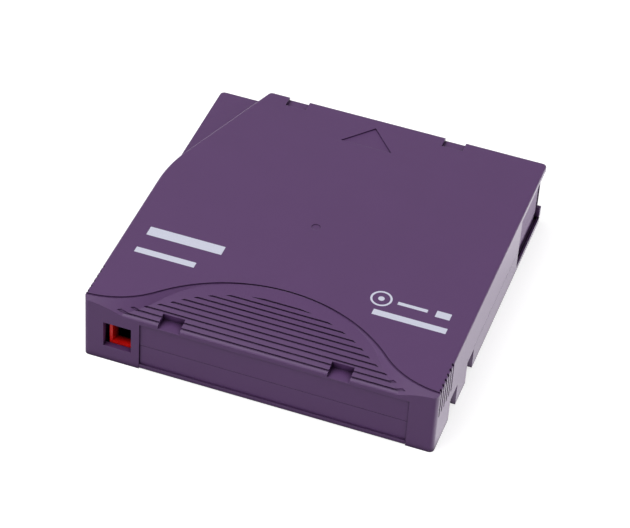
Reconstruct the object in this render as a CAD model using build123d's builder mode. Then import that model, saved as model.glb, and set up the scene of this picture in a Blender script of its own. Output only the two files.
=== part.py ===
from build123d import *
from math import acos, atan2, cos, degrees, radians, sin, sqrt
import os

os.makedirs("parts", exist_ok=True)

# Single-reel data tape cartridge for half-inch tape, in millimetres.
# X runs across the label face, Y from the label face to the leading edge, Z up.
# The origin is the middle of the footprint, on the surface that the case lies on.

# Overall case
case_width = 102.0
case_length = 105.4
case_height = 21.5
half_width = case_width / 2
half_length = case_length / 2
label_y = -half_length
leading_y = half_length
corner_radius = 1.4
edge_radius = 0.5

# Moulded walls
side_wall = 1.8
roof_thick = 1.8
floor_thick = 1.6
foot_height = 0.4
foot_size = 5.0
foot_inset = 4.2
floor_top = foot_height + floor_thick
roof_under = case_height - roof_thick
seam_z = 0.4 * case_height
seam_gap = 0.1
fit_gap = 0.35
merge_depth = 0.2
cut_past = 1.0

# Orientation step: the upper corner is cut slantwise above a low ledge
ledge_z = case_height - 4.7
ledge_roof = 1.6
slant_start_y = leading_y - 43.4
slant_end_x = 15.5 - half_width
slant_bend_radius = 45.0
slant_tip_radius = 1.5

# Skirt: the upper moulding reaches down to the table here
skirt_end_y = label_y + 35.8
corner_block_left = 16.4 - half_width
corner_block_right = half_width - 7.9
skirt_backing = 2.0
backing_length = 28.0

# Notches in the foot of both side walls
notch_height = seam_z - 1.0
near_notch_y = label_y + 17.1
near_notch_length = 6.6
notch_depth = 2.8
far_notch_length = 6.1
far_notch_y = skirt_end_y - far_notch_length / 2

# Label recess
label_recess = 0.5
label_low_z = 1.7
label_high_z = case_height - 5.1

# Thumb grip: a swept curve with ridged, falling ground in front of it
crest_y = label_y + 23.3
crest_radius = 0.9 * half_width
crest_reach_x = 0.65 * half_width
tail_y = label_y + 1.3
grip_drop = 3.2
grip_sag_share = 0.33
grip_roof = 1.25
grip_under_slope = 0.19
curve_groove_width = 0.55
curve_groove_depth = 0.4
grip_groove_count = 10
grip_groove_first_y = crest_y - 5.3
grip_groove_pitch = 1.88
grip_groove_width = 0.6
grip_groove_depth = 0.42
grip_inset = 4.7
grip_shoulder_x = crest_reach_x - 4.0
grip_end_inset = 6.5
fold_past = 0.15
fold_radius = 0.9

# Insertion arrow and gate mark on the roof
arrow_x = -0.75
arrow_base_y = leading_y - 13.3
arrow_half_base = 7.8
arrow_length = 9.2
arrow_depth = 0.35
gate_x = -2.1
gate_y = -0.7
gate_radius = 1.3
gate_depth = 0.2

# Stacking recesses in the roof and the pads under the floor that drop into them
stack_left_x = 25.0 - half_width
stack_right_x = half_width - 28.1
stack_width = 6.4
stack_length = 4.2
stack_depth = 1.2
stack_near_floor_z = case_height - 4.6
stack_skin = 1.2
stack_pad_width = 5.4
stack_pad_length = 3.2
pad_inset = 2.3

# Blind locating holes under the floor
locating_hole_x = half_width - 21.0
locating_hole_y = label_y + 6.2
locating_hole_radius = 1.6
locating_hole_depth = 2.2
locating_boss_side = 6.8

# Finger grooves cut upright into the side walls beside the label corners
finger_groove_count = 6
finger_groove_pitch = 2.15
finger_groove_first_y = label_y + 2.3
finger_groove_width = 0.9
finger_groove_depth = 0.6
finger_groove_low_z = case_height - 9.7

# Write protect window and its sliding tab
window_left = 5.8 - half_width
window_right = window_left + 8.2
window_low = 5.1
window_high = case_height - 7.9
tab_wall = 1.0
tab_depth = 4.4
tab_margin = 0.9
tab_travel = 4.2
tab_sill = 0.5
tab_head = 0.9
tab_cup_radius = 2.2
tab_rail_thick = 1.0
tab_edge_radius = 0.3
sense_hole_width = 3.0
sense_hole_length = 2.6
sense_hole_y = label_y + 3.8
sense_hole_inset = 2.3

# Reel
reel_x = 0.0
reel_y = 0.7
tape_width = case_height - 8.85
hub_radius = 20.5
hub_wall = 1.6
reel_side_gap = 1.7
flange_margin = 1.2
flange_thick = 1.0
reel_rest_z = 2.8
spindle_rim_width = 1.8
hub_web_thick = 1.6
drive_tooth_count = 36
drive_tooth_inner = 15.6
drive_tooth_outer = 19.4
spindle_hole_gap = 2.0
drive_tooth_height = 1.5
drive_tooth_root = 1.9
drive_tooth_tip = 0.6
drive_plate_inner = 7.0
drive_plate_outer = 14.6
drive_plate_thick = 0.8
drive_plate_gap = 0.05
flange_collar_width = 1.4
flange_collar_depth = 1.0
collar_gap = 0.05
pack_gap = 0.02
pack_head_gap = 0.2

# Reel brake
brake_tooth_count = 24
brake_tooth_inner = 12.6
brake_tooth_outer = 16.4
brake_tooth_height = 1.3
brake_tooth_width = 0.75
brake_plate_radius = 16.6
brake_plate_thick = 1.6
brake_post_side = 5.0
brake_lift = 2.0
brake_socket_wall = 1.3
brake_post_gap = 0.3
brake_socket_gap = 1.55
brake_spring_wire = 0.7
brake_spring_radius = 7.2
brake_spring_turns = 4
spring_seat_gap = 0.1
coil_steps = 12
pad_leg_radius = 10.3
pad_leg_size = 3.0
pad_leg_gap = 0.5
pad_plate_thick = 1.0
pad_leg_reach = 0.9
pad_centre_radius = 3.6

# Access door on the right side, beside the leading edge
door_start_y = leading_y - 25.7
door_wall = 0.7
door_side_gap = 0.3
door_thick = 1.0
door_tail = 3.5
door_end_gap = 0.9
door_return = 3.4
door_bend_radius = 0.8
door_groove_depth = 1.0
door_travel = 21.0
door_rear_gap = 0.5
door_band_height = 4.0
door_panel_end_y = leading_y - 4.1
door_low_recess = 0.5
door_lip = 1.2
door_nub_inset = 0.1
door_nub_past = 0.6
door_nub_width = 2.0
door_nub_length = 1.5
door_nub_height = 3.3
door_spring_wire = 0.6
door_spring_radius = 1.2
door_spring_turns = 8
door_anchor_y = door_start_y - 12.4
door_spring_x = half_width - 3.6
door_spring_z = 3.6
door_lug_y = leading_y - 4.5
spring_post_thick = 1.0

# Leader pin, its clip and the spring that holds it
pin_x = half_width - 8.4
pin_y = leading_y - 9.1
pin_radius = 1.25
pin_collar_radius = 2.1
pin_collar_thick = 0.8
pin_tip_radius = 1.6
pin_end_gap = 0.2
pin_pocket_depth = 0.6
pin_seat_height = 0.8
pin_seat_wall = 1.1
pin_seat_gap = 0.12
clip_wall = 0.55
clip_seat_gap = 0.05
clip_end_gap = 0.1
clip_mouth = 2.2
clip_mouth_angle = 45.0
pin_spring_thick = 0.3
pin_spring_width = 2.0
pin_spring_reach = 6.0
pin_spring_bend = 1.0
leader_thick = 0.15
leader_lift = 0.35
leader_edge_gap = 0.1

# Memory board on its slanted rests
board_x = half_width - 9.0
board_width = 8.0
board_height = 9.0
board_thick = 0.6
board_rest_size = 7.5
board_rest_spread = 3.0
board_rest_thick = 1.0
chip_size = 2.4
chip_thick = 0.5

# Case screws
screw_radius = 1.1
screw_head_radius = 2.1
screw_head_height = 1.3
screw_boss_radius = 2.7
screw_clear = 0.03
screw_reach = 7.0
screw_pad_height = 1.6
screw_pad_side = 6.6
screw_seat_depth = 1.5
screw_head_gap = 0.3
screw_places = [
    (6.7 - half_width, label_y + 13.3),
    (half_width - 8.0, label_y + 16.7),
    (6.8 - half_width, leading_y - 8.1),
    (half_width - 18.5, leading_y - 5.8),
]

# Places that follow from the sizes above
flange_radius = min(half_width, half_length) - side_wall - reel_side_gap
pack_radius = flange_radius - flange_margin
spindle_hole_radius = drive_tooth_outer + spindle_hole_gap
pack_low_z = reel_rest_z + flange_thick
pack_high_z = pack_low_z + tape_width
upper_flange_z = pack_high_z + pack_head_gap
upper_flange_top = upper_flange_z + flange_thick
web_top = pack_low_z + hub_web_thick
collar_outer = hub_radius - hub_wall - collar_gap
collar_inner = hub_radius - hub_wall - flange_collar_width
wall_inner = half_width - side_wall
backing_outer = wall_inner - seam_gap
door_outer = half_width - door_wall - door_side_gap
door_inner = door_outer - door_thick
door_end_y = leading_y - door_end_gap
door_low_z = floor_top - door_groove_depth + door_side_gap
door_high_z = roof_under + door_groove_depth - door_side_gap
far_wall_end_x = door_outer - door_return - fit_gap
door_back_y = door_start_y - door_tail
screw_joint_z = floor_top + screw_pad_height
brake_socket_side = brake_post_side + 2 * brake_post_gap
stack_places = (stack_left_x, stack_right_x)
screw_seat_z = foot_height + screw_seat_depth
tab_left = window_left + tab_margin
tab_right = window_right + tab_margin
tab_front_y = label_y + side_wall + fit_gap
tab_back_y = tab_front_y + tab_depth
tab_top_z = window_high + tab_head
brake_plate_z = web_top + brake_tooth_height + fit_gap
brake_socket_z = brake_plate_z + brake_plate_thick + brake_lift + brake_socket_gap
pin_low_z = floor_top - pin_pocket_depth + pin_end_gap
pin_middle_z = pack_low_z + tape_width / 2
pin_high_z = 2 * pin_middle_z - pin_low_z
collar_low_z = pack_low_z - pin_collar_thick
pin_spring_low_z = floor_top + pin_spring_thick / 2
board_wall_y = label_y + side_wall + seam_gap
pin_seat_side = 2 * (pin_tip_radius + pin_seat_gap + pin_seat_wall)


# The swept curve of the thumb grip, from one side wall to the other
with BuildLine() as grip_curve:
    crest_arc = ThreePointArc(
        (-crest_reach_x, crest_y - crest_radius + sqrt(crest_radius**2 - crest_reach_x**2)),
        (0, crest_y),
        (crest_reach_x, crest_y - crest_radius + sqrt(crest_radius**2 - crest_reach_x**2)),
    )
    right_tail = TangentArc(crest_arc @ 1, (half_width + 1, tail_y), tangent=crest_arc % 1)
    left_tail = TangentArc(
        crest_arc @ 0, (-half_width - 1, tail_y), tangent=(crest_arc % 0) * -1
    )


def grip_curve_y(x):
    """Y of the swept curve at one place across the case."""
    if abs(x) <= crest_reach_x:
        return crest_y - crest_radius + sqrt(crest_radius**2 - x**2)
    centre = right_tail.arc_center
    return centre.Y - sqrt(right_tail.radius**2 - (abs(x) - centre.X) ** 2)


def reel_level(z):
    """Level plane centred on the reel's axis."""
    return Plane((reel_x, reel_y, z))


# Upright plane through the reel's axis, for turned profiles
reel_upright = Plane((reel_x, reel_y, 0), x_dir=(1, 0, 0), z_dir=(0, -1, 0))
reel_axis = Axis((reel_x, reel_y, 0), (0, 0, 1))


# Outline of the case, and the same with the slanted corner
with BuildSketch() as case_outline:
    RectangleRounded(case_width, case_length, corner_radius)

with BuildSketch() as slanted_outline:
    with BuildLine():
        Polyline(
            (-half_width, label_y),
            (half_width, label_y),
            (half_width, leading_y),
            (slant_end_x, leading_y),
            (-half_width, slant_start_y),
            close=True,
        )
    make_face()
    fillet(slanted_outline.vertices().group_by(Axis.Y)[0], corner_radius)
    fillet(slanted_outline.vertices().sort_by(Axis.X)[-1], corner_radius)
    fillet(slanted_outline.vertices().sort_by(Axis.Y)[-1], slant_tip_radius)
    bend = slanted_outline.vertices().sort_by_distance((-half_width, slant_start_y))[0]
    fillet(bend, slant_bend_radius)


def roof_over(x, y):
    """Height of the roof's underside: lower where the ledge is."""
    slant = (slant_end_x + half_width) / (leading_y - slant_start_y)
    if x < (y - slant_start_y) * slant - half_width:
        return ledge_z - ledge_roof
    return roof_under


# Plan of the slot that the door's plate runs in, and of the opening that it closes
with BuildSketch() as door_run_plan:
    with Locations((door_inner - door_side_gap, door_back_y - door_travel - door_rear_gap)):
        Rectangle(
            door_thick + 2 * door_side_gap,
            door_end_y + door_side_gap - door_back_y + door_travel + door_rear_gap,
            align=(Align.MIN, Align.MIN),
        )

with BuildSketch() as door_mouth_plan:
    with Locations((door_inner, door_start_y)):
        Rectangle(case_width, case_length, align=(Align.MIN, Align.MIN))
    with Locations((far_wall_end_x, leading_y)):
        Rectangle(case_width, 2 * (side_wall + merge_depth), align=(Align.MIN, Align.CENTER))

# Horseshoe that holds one tip of the leader pin, open towards the door
with BuildSketch() as pin_seat_plan:
    with Locations((pin_x, pin_y)):
        Rectangle(pin_seat_side, pin_seat_side, rotation=clip_mouth_angle)
        Circle(pin_tip_radius + pin_seat_gap, mode=Mode.SUBTRACT)
        Rectangle(
            pin_spring_reach,
            2 * (pin_tip_radius + pin_seat_gap),
            rotation=clip_mouth_angle,
            align=(Align.MIN, Align.CENTER),
            mode=Mode.SUBTRACT,
        )
        Rectangle(
            pin_spring_reach,
            pin_spring_width + 2 * pin_seat_gap,
            rotation=clip_mouth_angle + 180,
            align=(Align.MIN, Align.CENTER),
            mode=Mode.SUBTRACT,
        )

# Plan of the bowl of the thumb grip, at the roof and again at its foot, drawn in from it
grip_bowl_foot = grip_drop + fold_radius + cut_past
grip_front_y = label_y - 2 * grip_bowl_foot
with BuildPart() as grip_bowl:
    for depth in (0, grip_bowl_foot):
        with BuildSketch(Plane.XY.offset(case_height - depth)):
            with BuildLine():
                rim_radius = crest_radius - depth
                rim_reach_x = crest_reach_x * rim_radius / crest_radius
                rim_end_y = crest_y - crest_radius + sqrt(rim_radius**2 - rim_reach_x**2)
                rim = ThreePointArc(
                    (-rim_reach_x, rim_end_y), (0, crest_y - depth), (rim_reach_x, rim_end_y)
                )
                right_rim = TangentArc(
                    rim @ 1, (half_width + cut_past, tail_y - depth), tangent=rim % 1
                )
                left_rim = TangentArc(
                    rim @ 0, (-half_width - cut_past, tail_y - depth), tangent=(rim % 0) * -1
                )
                Polyline(
                    right_rim @ 1,
                    (half_width + cut_past, grip_front_y),
                    (-half_width - cut_past, grip_front_y),
                    left_rim @ 1,
                )
            make_face()
    loft(ruled=True)
    extrude(grip_bowl.faces().sort_by(Axis.Z)[-1], amount=cut_past)

# What the thumb grip takes away: the ground falls to the label edge inside the bowl
with BuildPart() as grip_cut:
    with BuildSketch(Plane.YZ.offset(-half_width - cut_past)):
        with BuildLine():
            slope = ThreePointArc(
                (crest_y, case_height),
                ((crest_y + label_y + fold_radius) / 2, case_height - grip_drop * grip_sag_share),
                (label_y + fold_radius, case_height - grip_drop),
            )
            fold = TangentArc(
                slope @ 1,
                (label_y - fold_past, case_height - grip_drop - fold_radius),
                tangent=slope % 1,
            )
            Polyline(
                fold @ 1,
                (label_y - cut_past, case_height - grip_drop - fold_radius),
                (label_y - cut_past, case_height + cut_past),
                (crest_y, case_height + cut_past),
                slope @ 0,
            )
        make_face()
    extrude(amount=case_width + 2 * cut_past)
    add(grip_bowl.part, mode=Mode.INTERSECT)

# Ridges of the thumb grip, as grooves that follow the falling ground
with BuildPart() as grip_grooves:
    with BuildSketch(Plane.XY.offset(case_height - grip_drop - 2 * cut_past)):
        for index in range(grip_groove_count):
            with Locations((0, grip_groove_first_y - index * grip_groove_pitch)):
                Rectangle(case_width, grip_groove_width)
    extrude(amount=grip_drop + 3 * cut_past)
    with BuildSketch(Plane.XY.offset(case_height - grip_drop - 2 * cut_past)):
        with BuildLine():
            shoulder_y = grip_curve_y(grip_shoulder_x) - grip_inset
            inner_crest = ThreePointArc(
                (-grip_shoulder_x, shoulder_y),
                (0, crest_y - grip_inset),
                (grip_shoulder_x, shoulder_y),
            )
            Polyline(
                inner_crest @ 1,
                (half_width - grip_end_inset, label_y - cut_past),
                (grip_end_inset - half_width, label_y - cut_past),
                inner_crest @ 0,
            )
        make_face()
    extrude(amount=grip_drop + 3 * cut_past, mode=Mode.INTERSECT)
    add(grip_cut.part.moved(Location((0, 0, -grip_groove_depth))), mode=Mode.INTERSECT)

# Hollow of the upper moulding
with BuildPart() as upper_hollow:
    with BuildSketch():
        add(case_outline.sketch)
        offset(amount=-side_wall)
    extrude(amount=ledge_z - ledge_roof)
    with BuildSketch(Plane.XY.offset(ledge_z - ledge_roof)):
        add(slanted_outline.sketch)
        offset(amount=-side_wall)
    extrude(amount=roof_under - ledge_z + ledge_roof)
    with BuildSketch(Plane.YZ.offset(-half_width)):
        with BuildLine():
            Polyline(
                (label_y, case_height - grip_drop - grip_roof),
                (label_y + half_width, case_height - grip_drop - grip_roof + grip_under_slope * half_width),
                (label_y, case_height - grip_drop - grip_roof + grip_under_slope * half_width),
                close=True,
            )
        make_face()
    extrude(amount=case_width, mode=Mode.SUBTRACT)

with BuildPart() as upper_shell:
    # Body between the seam and the roof, with the slanted corner above the ledge
    with BuildSketch(Plane.XY.offset(seam_z)):
        add(case_outline.sketch)
    extrude(amount=ledge_z - seam_z)
    with BuildSketch(Plane.XY.offset(ledge_z)):
        add(slanted_outline.sketch)
    extrude(amount=case_height - ledge_z)
    roof_face = upper_shell.faces().sort_by(Axis.Z)[-1]
    fillet(roof_face.edges(), edge_radius)

    # Skirt round the label end
    with BuildSketch():
        add(case_outline.sketch)
        with Locations((0, skirt_end_y)):
            Rectangle(
                case_width, case_length, align=(Align.CENTER, Align.MIN), mode=Mode.SUBTRACT
            )
    extrude(amount=seam_z)
    uncut_volume = upper_shell.part.volume
    add(grip_cut.part, mode=Mode.SUBTRACT)
    if uncut_volume - upper_shell.part.volume < grip_cut.part.volume / 4:
        raise ValueError("the thumb grip was not cut")
    add(upper_hollow.part, mode=Mode.SUBTRACT)
    with BuildSketch():
        with Locations((corner_block_left, label_y)):
            Rectangle(
                corner_block_right - corner_block_left,
                2 * (side_wall + merge_depth),
                align=(Align.MIN, Align.CENTER),
            )
    extrude(amount=seam_z, mode=Mode.SUBTRACT)

    # Thickening behind the stacking recesses, then the recesses
    for x in stack_places:
        with BuildSketch(Plane.XY.offset(stack_near_floor_z - stack_skin)):
            with Locations((x, label_y + side_wall / 2)):
                Rectangle(
                    stack_width + 2 * stack_skin,
                    stack_length + stack_skin - side_wall / 2,
                    align=(Align.CENTER, Align.MIN),
                )
        extrude(amount=case_height - grip_drop - merge_depth - stack_near_floor_z + stack_skin)
        with BuildSketch(Plane.XY.offset(case_height - stack_depth - stack_skin)):
            with Locations((x, leading_y - side_wall / 2)):
                Rectangle(
                    stack_width + 2 * stack_skin,
                    stack_length + stack_skin - side_wall / 2,
                    align=(Align.CENTER, Align.MAX),
                )
        extrude(amount=stack_skin + 2 * merge_depth)
        with BuildSketch(Plane.XY.offset(stack_near_floor_z)):
            with Locations((x, label_y)):
                Rectangle(stack_width, 2 * stack_length)
        extrude(amount=case_height, mode=Mode.SUBTRACT)
        with BuildSketch(Plane.XY.offset(case_height - stack_depth)):
            with Locations((x, leading_y)):
                Rectangle(stack_width, 2 * stack_length)
        extrude(amount=case_height, mode=Mode.SUBTRACT)

    # Swept groove, ridges, arrow and gate mark
    with BuildSketch(Plane.XY.offset(case_height - curve_groove_depth)):
        with BuildLine():
            add(grip_curve.line)
        trace(line_width=curve_groove_width)
    extrude(amount=cut_past, mode=Mode.SUBTRACT)
    add(grip_grooves.part, mode=Mode.SUBTRACT)
    with BuildSketch(Plane.XY.offset(case_height - arrow_depth)):
        with BuildLine():
            Polyline(
                (arrow_x - arrow_half_base, arrow_base_y),
                (arrow_x + arrow_half_base, arrow_base_y),
                (arrow_x, arrow_base_y + arrow_length),
                close=True,
            )
        make_face()
    extrude(amount=cut_past, mode=Mode.SUBTRACT)
    with BuildSketch(Plane.XY.offset(case_height - gate_depth)):
        with Locations((gate_x, gate_y)):
            Circle(gate_radius)
    extrude(amount=cut_past, mode=Mode.SUBTRACT)

    # Label recess and write protect window
    with BuildSketch(Plane.XZ.offset(half_length - label_recess)):
        with Locations((corner_block_left, seam_z - cut_past)):
            Rectangle(
                corner_block_right - corner_block_left,
                label_high_z - seam_z + cut_past,
                align=(Align.MIN, Align.MIN),
            )
    extrude(amount=cut_past, mode=Mode.SUBTRACT)
    with BuildSketch(Plane.XZ.offset(half_length - side_wall - cut_past)):
        with Locations(((window_left + window_right) / 2, (window_low + window_high) / 2)):
            Rectangle(window_right - window_left, window_high - window_low)
    extrude(amount=side_wall + 2 * cut_past, mode=Mode.SUBTRACT)

    # Finger grooves and foot notches in both side walls
    with BuildSketch(Plane.XY.offset(finger_groove_low_z)):
        for index in range(finger_groove_count):
            y = finger_groove_first_y + index * finger_groove_pitch
            with Locations((-half_width, y), (half_width, y)):
                Rectangle(2 * finger_groove_depth, finger_groove_width)
    extrude(amount=case_height, mode=Mode.SUBTRACT)
    with BuildSketch():
        for side in (-1, 1):
            with Locations((side * half_width, near_notch_y)):
                Rectangle(4 * side_wall, near_notch_length)
            with Locations((side * half_width, far_notch_y)):
                Rectangle(4 * side_wall, far_notch_length)
    extrude(amount=notch_height, mode=Mode.SUBTRACT)

    # Door run: thinned wall, groove in the roof, and the opening round the corner
    with BuildSketch():
        add(door_run_plan.sketch)
    extrude(amount=roof_under + door_groove_depth, mode=Mode.SUBTRACT)
    with BuildSketch():
        add(door_mouth_plan.sketch)
    extrude(amount=roof_under, mode=Mode.SUBTRACT)

    # Screw bosses
    for x, y in screw_places:
        with BuildSketch(Plane.XY.offset(screw_joint_z)):
            with Locations((x, y)):
                Rectangle(2 * screw_boss_radius, 2 * screw_boss_radius)
                Circle(screw_radius + screw_clear, mode=Mode.SUBTRACT)
        extrude(amount=roof_over(x, y) - screw_joint_z + merge_depth)

    # Square socket that keeps the brake button from turning
    with BuildSketch(reel_level(brake_socket_z)):
        socket_outside = brake_socket_side + 2 * brake_socket_wall
        Rectangle(socket_outside, socket_outside)
        Rectangle(brake_socket_side, brake_socket_side, mode=Mode.SUBTRACT)
    extrude(amount=roof_under - brake_socket_z + merge_depth)

    # Seat for the upper end of the leader pin
    with BuildSketch(Plane.XY.offset(2 * pin_middle_z - floor_top - pin_seat_height)):
        add(pin_seat_plan.sketch)
    extrude(amount=roof_under - 2 * pin_middle_z + floor_top + pin_seat_height + merge_depth)
    with BuildSketch(Plane.XY.offset(pin_high_z + pin_end_gap)):
        with Locations((pin_x, pin_y)):
            Rectangle(pin_seat_side, pin_seat_side, rotation=clip_mouth_angle)
    extrude(amount=roof_under - pin_high_z - pin_end_gap + merge_depth)

upper_shell.part.label = "upper_shell"
export_step(upper_shell.part, "parts/upper_shell.step")

with BuildPart() as lower_shell:
    # Tray with its floor held off the table, cut back where the skirt comes down
    with BuildSketch(Plane.XY.offset(foot_height)):
        add(case_outline.sketch)
    extrude(amount=seam_z - seam_gap - foot_height)
    with BuildSketch(Plane.XY.offset(floor_top)):
        add(case_outline.sketch)
        offset(amount=-side_wall)
    extrude(amount=seam_z, mode=Mode.SUBTRACT)
    with BuildSketch():
        for side in (-1, 1):
            with Locations((side * half_width, skirt_end_y + seam_gap)):
                Rectangle(
                    2 * (side_wall + seam_gap), case_length, align=(Align.CENTER, Align.MAX)
                )
        with Locations((corner_block_left + seam_gap, label_y)):
            Rectangle(half_width, 2 * (side_wall + seam_gap), align=(Align.MAX, Align.CENTER))
        with Locations((corner_block_right - seam_gap, label_y)):
            Rectangle(half_width, 2 * (side_wall + seam_gap), align=(Align.MIN, Align.CENTER))
    extrude(amount=seam_z, mode=Mode.SUBTRACT)

    # Inner walls behind the notches, thinned where a notch reaches them
    with BuildSketch(Plane.XY.offset(floor_top - merge_depth)):
        for side, align in ((-1, Align.MIN), (1, Align.MAX)):
            with Locations((side * backing_outer, skirt_end_y + 2 * seam_gap)):
                Rectangle(skirt_backing, backing_length, align=(align, Align.MAX))
    extrude(amount=seam_z - seam_gap - floor_top + merge_depth)
    with BuildSketch():
        for side in (-1, 1):
            with Locations((side * half_width, near_notch_y)):
                Rectangle(2 * notch_depth, near_notch_length)
            with Locations((side * half_width, far_notch_y)):
                Rectangle(2 * notch_depth, far_notch_length)
    extrude(amount=notch_height, mode=Mode.SUBTRACT)

    # Label recess
    with BuildSketch(Plane.XZ.offset(half_length - label_recess)):
        with Locations((0, label_low_z)):
            Rectangle(case_width, case_height, align=(Align.CENTER, Align.MIN))
    extrude(amount=cut_past, mode=Mode.SUBTRACT)

    # Spindle opening with the raised rim that the reel rests on
    with BuildSketch(Plane.XY.offset(floor_top - merge_depth)):
        with Locations((reel_x, reel_y)):
            Circle(spindle_hole_radius + spindle_rim_width)
    extrude(amount=reel_rest_z - fit_gap - floor_top + merge_depth)
    with BuildSketch():
        with Locations((reel_x, reel_y)):
            Circle(spindle_hole_radius)
    extrude(amount=seam_z, mode=Mode.SUBTRACT)

    # Feet at the leading corners and stacking pads
    with BuildSketch():
        for side in (-1, 1):
            with Locations((side * (half_width - foot_inset), leading_y - foot_inset)):
                RectangleRounded(foot_size, foot_size, corner_radius)
        for x in stack_places:
            with Locations((x, label_y + pad_inset), (x, leading_y - pad_inset)):
                Rectangle(stack_pad_width, stack_pad_length)
    extrude(amount=foot_height + merge_depth)

    # Two blind locating holes in the floor
    with BuildSketch(Plane.XY.offset(foot_height)):
        with Locations((-locating_hole_x, locating_hole_y), (locating_hole_x, locating_hole_y)):
            Rectangle(locating_boss_side, locating_boss_side)
    extrude(amount=locating_hole_depth + side_wall)
    with BuildSketch():
        with Locations((-locating_hole_x, locating_hole_y), (locating_hole_x, locating_hole_y)):
            Circle(locating_hole_radius)
    extrude(amount=foot_height + locating_hole_depth, mode=Mode.SUBTRACT)

    # Door run: groove in the floor, thinned wall, and the opening round the corner
    with BuildSketch(Plane.XY.offset(floor_top - door_groove_depth)):
        add(door_run_plan.sketch)
    extrude(amount=seam_z, mode=Mode.SUBTRACT)
    with BuildSketch(Plane.XY.offset(floor_top)):
        add(door_mouth_plan.sketch)
    extrude(amount=seam_z, mode=Mode.SUBTRACT)

    # Screw pads with sunk seats for the heads
    with BuildSketch(Plane.XY.offset(foot_height)):
        with Locations(*screw_places):
            Rectangle(screw_pad_side, screw_pad_side)
    extrude(amount=screw_joint_z - foot_height)
    with BuildSketch():
        with Locations(*screw_places):
            Circle(screw_radius + screw_clear)
    extrude(amount=screw_joint_z + cut_past, mode=Mode.SUBTRACT)
    with BuildSketch():
        with Locations(*screw_places):
            Circle(screw_head_radius + screw_head_gap)
    extrude(amount=screw_seat_z, mode=Mode.SUBTRACT)

    # Rail behind the write protect tab and the sense hole that it can cover
    with BuildSketch(Plane.XY.offset(floor_top - merge_depth)):
        with Locations((tab_left - tab_travel, tab_back_y + fit_gap)):
            Rectangle(
                tab_right - tab_left + tab_travel, tab_rail_thick, align=(Align.MIN, Align.MIN)
            )
    extrude(amount=seam_z - floor_top)
    with BuildSketch():
        with Locations((tab_left - sense_hole_inset, sense_hole_y)):
            Rectangle(sense_hole_width, sense_hole_length)
    extrude(amount=seam_z, mode=Mode.SUBTRACT)

    # Seat for the lower end of the leader pin, and the post of the door's spring
    with BuildSketch(Plane.XY.offset(floor_top - merge_depth)):
        add(pin_seat_plan.sketch)
    extrude(amount=pin_seat_height + merge_depth)
    with BuildSketch(Plane.XY.offset(floor_top - pin_pocket_depth)):
        with Locations((pin_x, pin_y)):
            Circle(pin_tip_radius + pin_seat_gap)
    extrude(amount=pin_pocket_depth, mode=Mode.SUBTRACT)
    with BuildSketch(Plane.XY.offset(floor_top - merge_depth)):
        with Locations((door_spring_x, door_anchor_y)):
            Rectangle(2 * door_spring_radius, spring_post_thick, align=(Align.CENTER, Align.MAX))
    extrude(amount=door_spring_z + door_spring_radius - floor_top + merge_depth)

    # Two wedges that hold the memory board at a slant
    for side in (-1, 1):
        rest_x = board_x + side * board_rest_spread - board_rest_thick / 2
        with BuildSketch(Plane.YZ.offset(rest_x)):
            with BuildLine():
                Polyline(
                    (board_wall_y, floor_top - merge_depth),
                    (board_wall_y + board_rest_size + merge_depth, floor_top - merge_depth),
                    (board_wall_y, floor_top + board_rest_size),
                    close=True,
                )
            make_face()
        extrude(amount=board_rest_thick)

lower_shell.part.label = "lower_shell"
export_step(lower_shell.part, "parts/lower_shell.step")

# Door: a plate with a set-back lower band, turned round the leading corner
with BuildPart() as access_door:
    with BuildSketch(Plane.XY.offset(floor_top + fit_gap)):
        with BuildLine():
            Polyline(
                (door_outer, door_back_y),
                (door_outer, door_end_y),
                (door_outer - door_return, door_end_y),
                (door_outer - door_return, door_end_y - door_thick),
                (door_inner, door_end_y - door_thick),
                (door_inner, door_back_y),
                close=True,
            )
        make_face()
    extrude(amount=roof_under - floor_top - 2 * fit_gap)
    bend_edges = access_door.edges().filter_by(Axis.Z)
    fillet(bend_edges.sort_by_distance((door_outer, door_end_y, seam_z))[0], door_bend_radius)
    with BuildSketch(Plane.XY.offset(door_low_z)):
        with Locations((door_inner, door_back_y)):
            Rectangle(
                door_thick,
                door_end_y - door_back_y - 2 * door_bend_radius,
                align=(Align.MIN, Align.MIN),
            )
    extrude(amount=door_high_z - door_low_z)

    # Set-back band along the foot, and a channel between the panel and the end's lip
    with BuildSketch(Plane.YZ.offset(door_outer - door_low_recess)):
        with Locations((door_start_y, floor_top)):
            Rectangle(case_length, door_band_height, align=(Align.MIN, Align.MIN))
        with Locations((door_panel_end_y, floor_top)):
            Rectangle(
                door_end_y - door_lip - door_panel_end_y,
                case_height,
                align=(Align.MIN, Align.MIN),
            )
    extrude(amount=door_thick, mode=Mode.SUBTRACT)

    # Nub at the corner that the drive pushes on, and the lug that the spring bears on
    with BuildSketch(Plane.XY.offset(floor_top + fit_gap)):
        with Locations((half_width - door_nub_inset, door_end_y + door_nub_past)):
            Rectangle(door_nub_width, door_nub_length, align=(Align.MAX, Align.MAX))
    extrude(amount=door_nub_height)
    with BuildSketch(Plane.XY.offset(floor_top + fit_gap)):
        with Locations((door_inner + merge_depth, door_lug_y)):
            Rectangle(
                door_inner + merge_depth - door_spring_x + door_spring_radius,
                spring_post_thick,
                align=(Align.MAX, Align.MIN),
            )
    extrude(amount=door_spring_z - floor_top - fit_gap + door_spring_radius)

access_door.part.label = "access_door"
export_step(access_door.part, "parts/access_door.step")

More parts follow.
